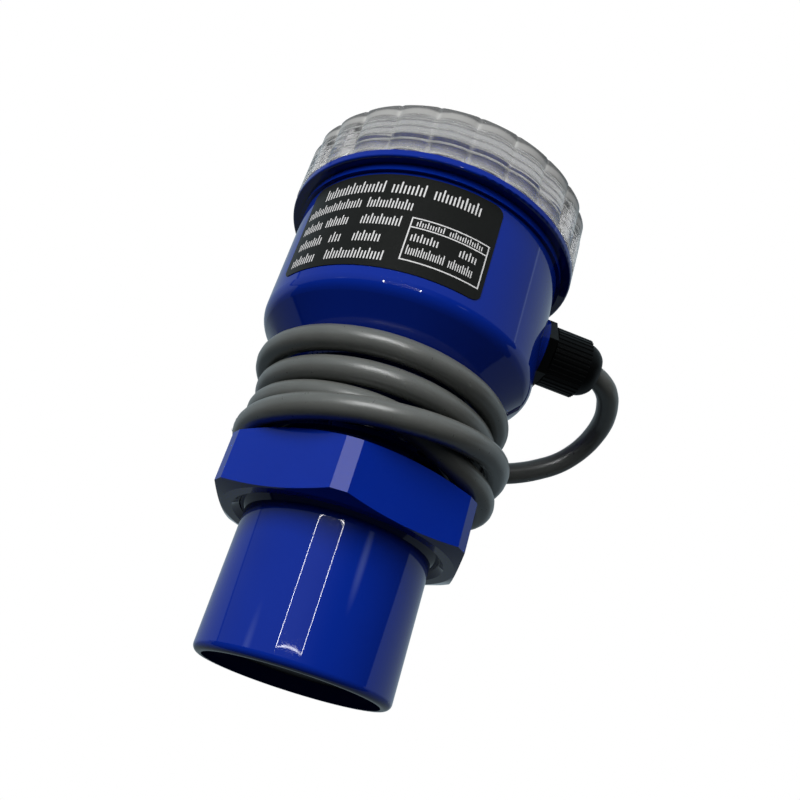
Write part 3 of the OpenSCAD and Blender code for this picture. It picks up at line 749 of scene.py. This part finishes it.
# A row's baseline, the height of its tall bars, the distance between bars, and where its groups lie
ROWS = (
    (105.6, 3.5, 0.93, ((-20.2, -2.4), (-1.0, 7.6), (9.2, 21.1))),
    (101.1, 3.0, 0.78, ((-24.6, -7.2), (-5.8, 5.6))),
    (96.2, 3.0, 0.78, ((-24.3, -17.2), (-16.0, -9.2), (-6.0, 4.1))),
    (91.2, 3.0, 0.80, ((-23.5, -15.2), (-13.0, -9.4), (-6.5, 0.6))),
    (86.3, 3.0, 0.80, ((-23.8, -15.5), (-12.5, 2.7))),
    (97.2, 1.7, 0.62, ((7.4, 14.2), (15.2, 23.8))),
    (93.0, 2.4, 0.74, ((7.0, 13.8), (18.6, 23.3))),
    (89.2, 2.6, 0.58, ((6.9, 16.0), (16.8, 23.0))),
)
BOX_LEFT, BOX_RIGHT, BOX_LOW, BOX_RULE, BOX_HIGH = 5.9, 25.1, 87.5, 96.6, 99.5
RULE, RULE_STEPS, JOIN = 0.32, 16, 0.01
# A bar's width and its cut corners, as shares of the distance between bars
BAR_SHARE, BAR_CUT = 0.42, 0.12
BAR_HEIGHTS = (1.0, 0.72, 0.72, 1.0, 0.72, 0.72, 0.72, 0.9, 0.72)


def on_label(across, height, radius):
    """A place on the label's bend, from the distance along it and the height."""
    return polar(LABEL_TURN + math.degrees(across / LABEL_R), radius, height) * MM


def ink_bar(mesh, left, right, low, high, cut):
    """A small upright plate with cut corners."""
    outline = [
        (left, low + cut), (left + cut, low), (right - cut, low), (right, low + cut),
        (right, high - cut), (right - cut, high), (left + cut, high), (left, high - cut),
    ]
    under = [mesh.verts.new(on_label(u, v, INK_LOW)) for u, v in outline]
    over = [mesh.verts.new(on_label(u, v, INK_HIGH)) for u, v in outline]
    skin(mesh, [under, over])


def ink_line(mesh, left, right, low, high, count):
    """A ruled line, in steps short enough to follow the bend of the label."""
    section = ((low, INK_LOW), (high, INK_LOW), (high, INK_HIGH), (low, INK_HIGH))
    steps = [left + (right - left) * k / count for k in range(count + 1)]
    skin(mesh, [[mesh.verts.new(on_label(u, v, radius)) for v, radius in section] for u in steps])


ink = bmesh.new()
bars = 0
for base, tall, pitch, groups in ROWS:
    for start, stop in groups:
        count = round((stop - start) / pitch)
        for k in range(count):
            left = start + k * (stop - start) / count
            high = base + tall * BAR_HEIGHTS[bars % len(BAR_HEIGHTS)]
            ink_bar(ink, left, left + BAR_SHARE * pitch, base, high, BAR_CUT * pitch)
            bars += 1
LEVELS = (BOX_LOW, BOX_RULE, BOX_HIGH - RULE)
for low in LEVELS:
    ink_line(ink, BOX_LEFT, BOX_RIGHT, low, low + RULE, RULE_STEPS)
for low, high in zip(LEVELS, LEVELS[1:]):
    for left in (BOX_LEFT, BOX_RIGHT - RULE):
        ink_line(ink, left, left + RULE, low + RULE + JOIN, high - JOIN, 1)
bmesh.ops.recalc_face_normals(ink, faces=ink.faces)
label_print = keep("label_print", ink, "sensor", "label_film")
paint(label_print, white_ink)
print("bars on the label:", bars)

# %% [markdown]
# ## The lid's thread
# Lid and collar screw together, and the ridges of both show through the clear wall as bright lines. A
# thread is a spiral with a small profile drawn along it, so Geometry Nodes fit: the tree takes the number
# of turns, the pitch, the radius and the ridge's size, and serves both ridges. The lid's ridge lies half a
# pitch above the collar's, so that they pass each other while the lid turns. The collar's ridge is low
# enough for the seal ring to pass over it. Both threads are right-handed.

# %% Thread tree
def node_group(name, result, *inputs):
    """An empty Geometry Nodes group with named inputs, and the values of these inputs."""
    group = bpy.data.node_groups.new(name, "GeometryNodeTree")
    for label, kind in inputs:
        group.interface.new_socket(label, in_out="INPUT", socket_type="NodeSocket" + kind)
    group.interface.new_socket(result, in_out="OUTPUT", socket_type="NodeSocketGeometry")
    tree = Tree(group)
    first = tree.node("NodeGroupInput")
    return group, tree, [Value(tree, s) for s in list(first.socket.node.outputs)[: len(inputs)]]


def grow(name, group, body, slot, **sizes):
    """The plain mesh that a group makes with these sizes, riding on a body."""
    thing = bpy.data.objects.new(name, bpy.data.meshes.new(name))
    bpy.context.scene.collection.objects.link(thing)
    live = thing.modifiers.new(name, "NODES")
    live.node_group = group
    for item in group.interface.items_tree:
        if item.in_out == "INPUT":
            live[item.identifier] = sizes[item.name]
    made = bpy.data.meshes.new_from_object(thing.evaluated_get(bpy.context.evaluated_depsgraph_get()))
    thing.modifiers.remove(live)
    thing.data = made
    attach(thing, body)
    return thing


STEPS_A_TURN, RIDGE_SIDES = 96, 10
thread_group, t, (turns, pitch, radius, foot, ridge, coat) = node_group(
    "screw_thread", "Thread", ("Turns", "Float"), ("Pitch", "Float"), ("Radius", "Float"),
    ("Foot", "Float"), ("Ridge", "Float"), ("Finish", "Material"),
)
spiral = t.node(
    "GeometryNodeCurveSpiral", None, Resolution=STEPS_A_TURN, Rotations=turns, Start_Radius=radius,
    End_Radius=radius, Height=turns * pitch, Reverse=True,
)
upright = t.node("GeometryNodeSetCurveNormal", {"mode": "Z_UP"}, spiral)
profile = t.node(
    "GeometryNodeCurvePrimitiveCircle", {"mode": "RADIUS"}, Resolution=RIDGE_SIDES, Radius=ridge
)
swept = t.node("GeometryNodeCurveToMesh", None, Curve=upright, Profile_Curve=profile, Fill_Caps=True)
lift = t.node("ShaderNodeCombineXYZ", None, 0.0, 0.0, foot)
lifted = t.node("GeometryNodeTransform", None, Geometry=swept, Translation=lift)
real = t.node("GeometryNodeRealizeInstances", None, lifted)
t.node("NodeGroupOutput", None, t.node("GeometryNodeSetMaterial", None, real, Material=coat))
print("thread tree has", len(thread_group.nodes), "nodes")

# %% Threads of collar and lid
LID_PITCH, THREAD_FOOT = 2.1, 118.3
COLLAR_TURNS, COLLAR_R, COLLAR_RIDGE = 2.2, 35.1, 0.36
LID_TURNS, LID_R, LID_RIDGE = 4.0, 36.2, 0.3
collar_thread = grow(
    "collar_thread", thread_group, "sensor", "blue_plastic", Turns=COLLAR_TURNS, Pitch=LID_PITCH * MM,
    Radius=COLLAR_R * MM, Foot=THREAD_FOOT * MM, Ridge=COLLAR_RIDGE * MM, Finish=blue_plastic,
)
# The lid's ridge gets the near-white finish, a painted highlight for its bright lines
lid_thread = grow(
    "lid_thread", thread_group, "lid_cap", "clear_plastic", Turns=LID_TURNS, Pitch=LID_PITCH * MM,
    Radius=LID_R * MM, Foot=(THREAD_FOOT + LID_PITCH / 2) * MM, Ridge=LID_RIDGE * MM, Finish=ridge_painted_glint,
)
for thread in (collar_thread, lid_thread):
    low = min(thread.data.vertices, key=lambda v: v.co.z).co
    print(thread.name, "faces", len(thread.data.polygons), "lowest at", [round(c / MM, 1) for c in low])

# %% [markdown]
# ## Small parts on the board
# Through the lid one sees a display, three keys and the small parts round them. What repeats, such as the
# pins of a chip, the resistors in a row and the four digits, is one small mesh that a second tree sets down
# along a line: it takes the mesh, how many, where the first stands and the step to the next.

# %% Row tree
row_group, t, (part, count, first, step, coat) = node_group(
    "row", "Row", ("Part", "Object"), ("Count", "Int"), ("First", "Vector"), ("Step", "Vector"),
    ("Finish", "Material"),
)
line = t.node("GeometryNodeMeshLine", {"mode": "OFFSET"}, Count=count, Start_Location=first, Offset=step)
shape = t.node("GeometryNodeObjectInfo", {"transform_space": "ORIGINAL"}, part, out="Geometry")
placed = t.node("GeometryNodeInstanceOnPoints", None, line, Instance=shape)
real = t.node("GeometryNodeRealizeInstances", None, placed)
t.node("NodeGroupOutput", None, t.node("GeometryNodeSetMaterial", None, real, Material=coat))
print("row tree has", len(row_group.nodes), "nodes")

# %% Shapes that the rows repeat
def prism(mesh, outline, low, high, draft=0.0):
    """A closed plate over an outline that runs anticlockwise. draft draws its top in."""
    middle = sum((Vector(p) for p in outline), Vector((0.0, 0.0))) / len(outline)
    drawn = [middle + (Vector(p) - middle) * (1.0 - draft) for p in outline]
    under = [mesh.verts.new(Vector((*p, low)) * MM) for p in outline]
    over = [mesh.verts.new(Vector((*p, high)) * MM) for p in drawn]
    mesh.faces.new(over)
    mesh.faces.new(under[::-1])
    for k in range(len(outline)):
        m = (k + 1) % len(outline)
        mesh.faces.new((under[k], under[m], over[m], over[k]))


def cut_box(x, y, wide, deep, cut):
    """A rectangle about x, y with cut corners."""
    w, d = wide / 2, deep / 2
    return [
        (x - w + cut, y - d), (x + w - cut, y - d), (x + w, y - d + cut), (x + w, y + d - cut),
        (x + w - cut, y + d), (x - w + cut, y + d), (x - w, y + d - cut), (x - w, y - d + cut),
    ]


def seed(name, build_it):
    """A shape for the row tree. It stays out of the scene."""
    mesh = bmesh.new()
    build_it(mesh)
    return as_object(name, mesh)


def gull_pin(mesh, side):
    """A chip's pin: out of the body, down, and flat on the board."""
    bends = ((0.0, 0.9), (0.45, 0.9), (0.75, 0.1), (1.3, 0.1))
    section = ((-0.2, 0.0), (0.2, 0.0), (0.2, 0.16), (-0.2, 0.16))
    rings = []
    for u, v in bends:
        ring = [Vector((w, side * u, v + h)) * MM for w, h in section]
        rings.append([mesh.verts.new(point) for point in ring])
    skin(mesh, rings)
    bmesh.ops.recalc_face_normals(mesh, faces=mesh.faces)


def resistor_body(mesh):
    """The dark middle of a small flat resistor."""
    prism(mesh, cut_box(0, 0, 1.3, 1.2, 0.05), 0.0, 0.5, 0.04)


def resistor_ends(mesh):
    """Its two tinned ends."""
    for x in (-0.8, 0.8):
        prism(mesh, cut_box(x, 0, 0.4, 1.3, 0.08), 0.0, 0.55, 0.06)


SEGMENT, STROKE, SLANT, GAP, GLYPH_T = 3.0, 0.62, 0.09, 0.08, 0.06
DOT_X, DOT_D, DOT_CUT = 2.35, 0.7, 0.2
# Middles of a digit's lying and standing bars, in lengths of a bar
LYING = ((0.0, 0.0), (0.0, 1.0), (0.0, 2.0))
STANDING = ((-0.5, 0.5), (0.5, 0.5), (-0.5, 1.5), (0.5, 1.5))


def digit(mesh):
    """Seven bars and a dot, leaning a little."""
    n, h = SEGMENT / 2 - GAP, STROKE / 2
    lying = [(-n, 0), (-n + h, -h), (n - h, -h), (n, 0), (n - h, h), (-n + h, h)]
    standing = [(-v, u) for u, v in lying]
    for places, bar in ((LYING, lying), (STANDING, standing)):
        for x, y in places:
            shape = [(x * SEGMENT + u, y * SEGMENT + v) for u, v in bar]
            prism(mesh, [(u + SLANT * v, v) for u, v in shape], 0.0, GLYPH_T)
    prism(mesh, cut_box(DOT_X, 0.0, DOT_D, DOT_D, DOT_CUT), 0.0, GLYPH_T)


print("row shapes ready")

# %% Chip, resistors and digits
BOARD_TOP = 112.0
DIGITS, DIGIT_FIRST, DIGIT_STEP, DIGIT_Y, DIGIT_Z = 4, -10.2, 6.6, 3.0, 118.7
CHIP_X, CHIP_Y, CHIP_W, CHIP_D, CHIP_CUT = 0.0, 20.5, 10.2, 3.9, 0.15
# The chip's underside, the line where its halves meet, and its top, above the board
CHIP_LOW, CHIP_MID, CHIP_HIGH = 0.15, 1.0, 1.75
PINS, PIN_FIRST, PIN_STEP = 8, -4.45, 1.27
chip = bmesh.new()
lower = cut_box(CHIP_X, CHIP_Y, CHIP_W, CHIP_D, CHIP_CUT)
upper = cut_box(CHIP_X, CHIP_Y, CHIP_W + 0.2, CHIP_D + 0.08, CHIP_CUT)
prism(chip, lower, BOARD_TOP + CHIP_LOW, BOARD_TOP + CHIP_MID, -0.02)
prism(chip, upper, BOARD_TOP + CHIP_MID, BOARD_TOP + CHIP_HIGH, 0.05)
chip_body = keep("chip_body", chip, "sensor", "switch_plastic")
switch_plastic = bpy.data.materials["switch_plastic"]
paint(chip_body, switch_plastic)
dull_red = speckled("segment_red", (0.30, 0.05, 0.045), (0.36, 0.065, 0.06), 0.3)
ROW_PARTS = []
for name, side in (("near", -1), ("far", 1)):
    shape = seed("pin_" + name, lambda m: gull_pin(m, side))
    where = (PIN_FIRST, CHIP_Y + side * CHIP_D / 2, BOARD_TOP)
    ROW_PARTS.append(("pins_" + name, shape, PINS, where, (PIN_STEP, 0, 0), screw_steel, "screw_steel"))
shape, where = seed("digit", digit), (DIGIT_FIRST, DIGIT_Y, DIGIT_Z)
ROW_PARTS.append(("digits", shape, DIGITS, where, (DIGIT_STEP, 0, 0), dull_red, "display_plastic"))
body_seed, ends_seed = seed("resistor_body", resistor_body), seed("resistor_ends", resistor_ends)
for name, count, start, step in (
    ("left", 5, (-21.0, -6.0), (0, 3.2)), ("right", 5, (21.0, -6.0), (0, 3.2)),
    ("near", 7, (-9.0, -17.0), (3.0, 0)), ("low", 5, (-6.0, -21.0), (3.0, 0)),
):
    where, stride = (*start, BOARD_TOP), (*step, 0)
    ROW_PARTS += [
        ("resistors_" + name, body_seed, count, where, stride, switch_plastic, "switch_plastic"),
        ("resistor_ends_" + name, ends_seed, count, where, stride, screw_steel, "screw_steel"),
    ]
for name, shape, count, first, step, coat, slot in ROW_PARTS:
    row = grow(
        name, row_group, "sensor", slot, Part=shape, Count=count, First=Vector(first) * MM,
        Step=Vector(step) * MM, Finish=coat,
    )
    print(name, count, "x, faces", len(row.data.polygons))
